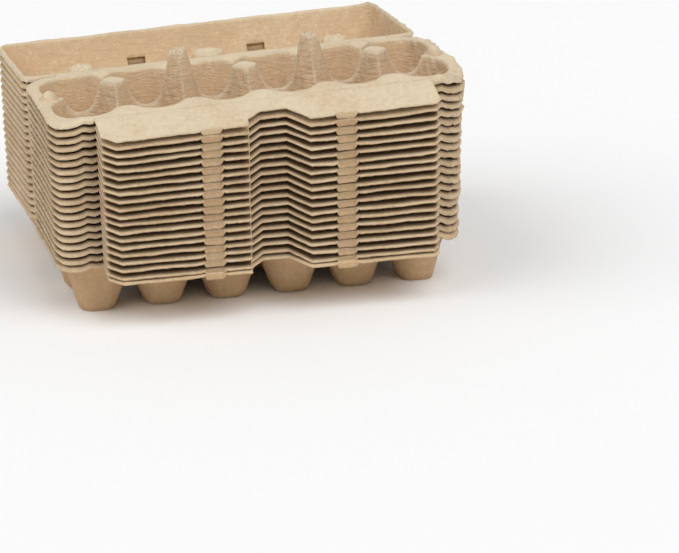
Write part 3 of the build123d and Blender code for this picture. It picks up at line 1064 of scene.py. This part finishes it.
def nesting_tree():
    """Tree that roughens one carton form and puts it at its level in the stack."""
    tree = bpy.data.node_groups.new("nested_carton", "GeometryNodeTree")
    tree.is_modifier = True
    tree.interface.new_socket(name="Geometry", in_out="INPUT", socket_type="NodeSocketGeometry")
    for kind, labels in TREE_INPUTS.items():
        for label in labels:
            tree.interface.new_socket(name=label, in_out="INPUT", socket_type=kind)
    tree.interface.new_socket(name="Geometry", in_out="OUTPUT", socket_type="NodeSocketGeometry")
    given = add_node(tree, "NodeGroupInput", {})
    position = add_node(tree, "GeometryNodeInputPosition", {})[0]
    calc = partial(math_node, tree)

    def field(name):
        kept = add_node(tree, "GeometryNodeInputNamedAttribute", {"Name": name}, data_type="FLOAT")
        return kept["Attribute"]

    def noise(scale, detail):
        values = {"Vector": position, "W": given["Seed"], "Scale": scale, "Detail": detail}
        return add_node(tree, "ShaderNodeTexNoise", values, noise_dimensions="4D")

    def vector(operation, first, second):
        slot = "Scale" if operation == "SCALE" else 1
        return add_node(tree, "ShaderNodeVectorMath", {0: first, slot: second}, operation=operation)[0]

    def shake(scale, detail, amount):
        return vector("SCALE", vector("SUBTRACT", noise(scale, detail)["Color"], NOISE_MIDDLE), amount)

    wave = shake(WAVE_SCALE, detail=2.0, amount=calc("MULTIPLY", field("loose"), given["Edge Wave"]))
    loosest = calc("MULTIPLY", calc("POWER", field("loose"), RIPPLE_POWER), field("rough"))
    ripple = shake(RIPPLE_SCALE, detail=2.0, amount=calc("MULTIPLY", loosest, given["Ripple"]))
    frayed = calc("MULTIPLY", field("edge"), calc("ADD", field("rough"), LEAST_FRAY))
    fray = shake(FRAY_SCALE, detail=3.0, amount=calc("MULTIPLY", frayed, FRAY * MM))

    lump = calc("SUBTRACT", noise(CRUMPLE_SCALE, detail=4.0)["Fac"], NOISE_MIDDLE[0])
    lump = calc("MULTIPLY", lump, field("skin"))
    steep = calc("SUBTRACT", STEEPEST, field("flat"))
    lump = calc("MULTIPLY", lump, calc("MULTIPLY", steep, field("rough")))
    lump = calc("MULTIPLY", lump, given["Crumple"])
    uncreased = calc("SUBTRACT", 1.0, calc("ABSOLUTE", field("crest"), 0.0))
    lump = calc("MULTIPLY", lump, uncreased)
    crumple = vector("SCALE", add_node(tree, "GeometryNodeInputNormal", {})[0], lump)

    along = add_node(tree, "ShaderNodeSeparateXYZ", {0: position})["X"]
    end_values = {"Value": along, "From Min": CRUSH_FROM * MM, "From Max": RIM_LENGTH / 2 * MM}
    at_end = add_node(tree, "ShaderNodeMapRange", end_values, interpolation_type="SMOOTHSTEP")["Result"]
    pushed = calc("MULTIPLY", calc("MULTIPLY", at_end, given["End Crush"]), -1.0)
    crush = add_node(tree, "ShaderNodeCombineXYZ", {"X": pushed})[0]

    offset = vector("ADD", vector("ADD", wave, ripple), vector("ADD", fray, crumple))
    offset = vector("ADD", offset, crush)
    moved = add_node(tree, "GeometryNodeSetPosition", {"Geometry": given["Geometry"], "Offset": offset})[0]
    seat = {"Scale": given["Size"], "Rotation": given["Turn"], "Translation": given["Place"]}
    seated = add_node(tree, "GeometryNodeTransform", {"Geometry": moved, **seat})[0]
    real = add_node(tree, "GeometryNodeRealizeInstances", {"Geometry": seated})[0]
    finished = add_node(tree, "GeometryNodeSetMaterial", {"Geometry": real, "Material": given["Pulp"]})[0]
    add_node(tree, "NodeGroupOutput", {"Geometry": finished})
    return tree


nesting = nesting_tree()
sockets = {item.name: item.identifier for item in nesting.interface.items_tree if item.in_out == "INPUT"}
print("nesting inputs", list(sockets))

# %% Piece at its level
SQUEEZE = 0.014


def nested_piece(name, form, level, material, seed, moves):
    """Plain mesh object of a form, moved by some millimetres with a seed and put at its level."""
    holder = bpy.data.objects.new(name + "_form", form)
    bpy.context.scene.collection.objects.link(holder)
    modifier = holder.modifiers.new("nest", "NODES")
    modifier.node_group = nesting
    height_share = level / (CARTONS - 1)
    modifier[sockets["Seed"]] = float(seed)
    for label, amount in moves.items():
        modifier[sockets[label]] = amount * MM
    modifier[sockets["Size"]] = (1 - SQUEEZE * (1 - height_share), 1.0, 1.0)
    modifier[sockets["Turn"]] = (0.0, -math.radians(STACK_LEAN) * height_share, 0.0)
    modifier[sockets["Place"]] = (centre_x, centre_y, level * NEST_PITCH * MM)
    modifier[sockets["Pulp"]] = material
    depsgraph = bpy.context.evaluated_depsgraph_get()
    mesh = bpy.data.meshes.new_from_object(holder.evaluated_get(depsgraph))
    mesh.name = name
    bpy.data.objects.remove(holder)
    piece = bpy.data.objects.new(name, mesh)
    bpy.context.scene.collection.objects.link(piece)
    return piece


# %% Cartons below the top one
DRAW_SEED = 11
NESTED_SHARE = 0.6
SEED_START = 1.3
SEED_STEP = 3.7
WAVE_RANGE = (2.2, 4.0)
NEST_RIPPLE = 3.4
NEST_CRUMPLE = 5.0
HIGHEST_CRUSH = 2.3
MORE_CRUSH = 2.4

rng = np.random.default_rng(DRAW_SEED)
special_forms = {0: "first", CARTONS - 2: "second"}
total = 0
for level in range(CARTONS - 1):
    node = f"carton_{level + 1:02d}"
    form = meshes[special_forms.get(level, "nested")]
    pulp = "nested" if rng.random() < NESTED_SHARE else "shaded"
    pulp = "first" if level == 0 else pulp
    moves = {
        "Edge Wave": float(rng.uniform(*WAVE_RANGE)),
        "Ripple": NEST_RIPPLE,
        "Crumple": NEST_CRUMPLE,
        "End Crush": HIGHEST_CRUSH + MORE_CRUSH * (1 - level / (CARTONS - 1)),
    }
    piece = nested_piece("pulp_" + node, form, level, pulps[pulp], SEED_STEP * level + SEED_START, moves)
    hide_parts(node)
    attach(piece, "stack")
    total += len(piece.data.polygons)
print("nested cartons", total, "faces")

# %% [markdown]
# ## The top carton
# Nothing lies over the top carton, so its lid and its flap can be folded. They are pieces of their own, which
# meet the tray at the two folds and turn there.

# %% Top carton
TOP_SEED = 91.0
TOP_WAVE = 3.0
TOP_RIPPLE = 4.2
for node, body, crumple, crush in (
    ("top_tray", "stack", 5.8, 2.0),
    ("top_lid", "lid", 6.0, 4.0),
    ("top_flap", "flap", 6.0, 0.0),
):
    moves = {"Edge Wave": TOP_WAVE, "Ripple": TOP_RIPPLE, "Crumple": crumple, "End Crush": crush}
    piece = nested_piece("pulp_" + node, meshes[node], CARTONS - 1, pulps["top"], TOP_SEED, moves)
    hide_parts(node)
    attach(piece, body)
    print(node, len(piece.data.polygons), "faces")

# %% [markdown]
# ## Floor, light and camera
# The stack stands on a plain pale floor, as on a product table. One lamp alone would leave the left end
# black, so a wide soft key from the upper front right is helped by a weaker fill from the left and by an even
# sky. The camera is a long lens, so the rows of edges stay almost parallel.

# %% Floor
FLOOR_HALF = 6.0
FLOOR_GREY = 0.95
FLOOR_ROUGHNESS = 0.9

floor_paint = bpy.data.materials.new("pale_floor")
floor_paint.use_nodes = True
floor_finish = {"Base Color": (FLOOR_GREY, FLOOR_GREY, FLOOR_GREY, 1.0), "Roughness": FLOOR_ROUGHNESS}
feed(floor_paint.node_tree, floor_paint.node_tree.nodes["Principled BSDF"], floor_finish)
floor_mesh = bpy.data.meshes.new("floor")
floor_corners = [(FLOOR_HALF * x, FLOOR_HALF * y, 0) for x, y in ((-1, -1), (1, -1), (1, 1), (-1, 1))]
floor_mesh.from_pydata(floor_corners, [], [(0, 1, 2, 3)])
floor = bpy.data.objects.new("floor", floor_mesh)
floor.data.materials.append(floor_paint)
bpy.context.scene.collection.objects.link(floor)
print("floor", 2 * FLOOR_HALF, "metres wide")

# %% Light
LAMP_SPREAD = 50.0
SKY_STRENGTH = 0.4


def sky_lamp(name, azimuth, height, strength):
    """Even soft light from a compass direction and a height over the horizon, in degrees."""
    lamp = bpy.data.lights.new(name, "SUN")
    lamp.angle = math.radians(LAMP_SPREAD)
    lamp.energy = strength
    holder = bpy.data.objects.new(name, lamp)
    flat_way = Vector((math.sin(math.radians(azimuth)), math.cos(math.radians(azimuth)), 0))
    way = flat_way * math.cos(math.radians(height)) + Vector((0, 0, math.sin(math.radians(height))))
    holder.rotation_euler = way.to_track_quat("Z", "Y").to_euler()
    bpy.context.scene.collection.objects.link(holder)
    return holder


key = sky_lamp("key", azimuth=150.0, height=56.0, strength=1.5)
fill = sky_lamp("fill", azimuth=-100.0, height=44.0, strength=1.05)
world = bpy.data.worlds.new("studio")
bpy.context.scene.world = world
world.use_nodes = True
sky = {"Color": (1.0, 1.0, 1.0, 1.0), "Strength": SKY_STRENGTH}
feed(world.node_tree, world.node_tree.nodes["Background"], sky)
print("lamps", key.name, fill.name)

# %% Camera
IMAGE_WIDTH = 679
IMAGE_HEIGHT = 553
FOCAL_PX = 3312.0
SENSOR = 36.0
YAW = math.radians(15.77)
ELEVATION = math.radians(19.7)
AIM_BACK = 20.0
AIM_HEIGHT = 80.0
AIM = Vector((centre_x, centre_y + AIM_BACK * MM, AIM_HEIGHT * MM))
AIM_PX = (241.5, 163.6)
AIM_DISTANCE = 2.350

flat_forward = Vector((math.sin(YAW), math.cos(YAW), 0))
forward = flat_forward * math.cos(ELEVATION) - Vector((0, 0, math.sin(ELEVATION)))
right = Vector((math.cos(YAW), -math.sin(YAW), 0))
up = right.cross(forward)
aim_right = (AIM_PX[0] - IMAGE_WIDTH / 2) / FOCAL_PX
aim_down = (AIM_PX[1] - IMAGE_HEIGHT / 2) / FOCAL_PX
sight = forward + right * aim_right - up * aim_down
lens = bpy.data.cameras.new("camera")
lens.sensor_fit = "HORIZONTAL"
lens.sensor_width = SENSOR
lens.lens = SENSOR * FOCAL_PX / IMAGE_WIDTH
camera = bpy.data.objects.new("camera", lens)
turn = Matrix((right, up, -forward)).transposed().to_4x4()
camera.matrix_world = Matrix.Translation(AIM - sight * AIM_DISTANCE) @ turn
bpy.context.scene.collection.objects.link(camera)
bpy.context.scene.camera = camera
bpy.context.scene.view_settings.view_transform = "Standard"
print("camera lens", round(lens.lens, 1), "mm")
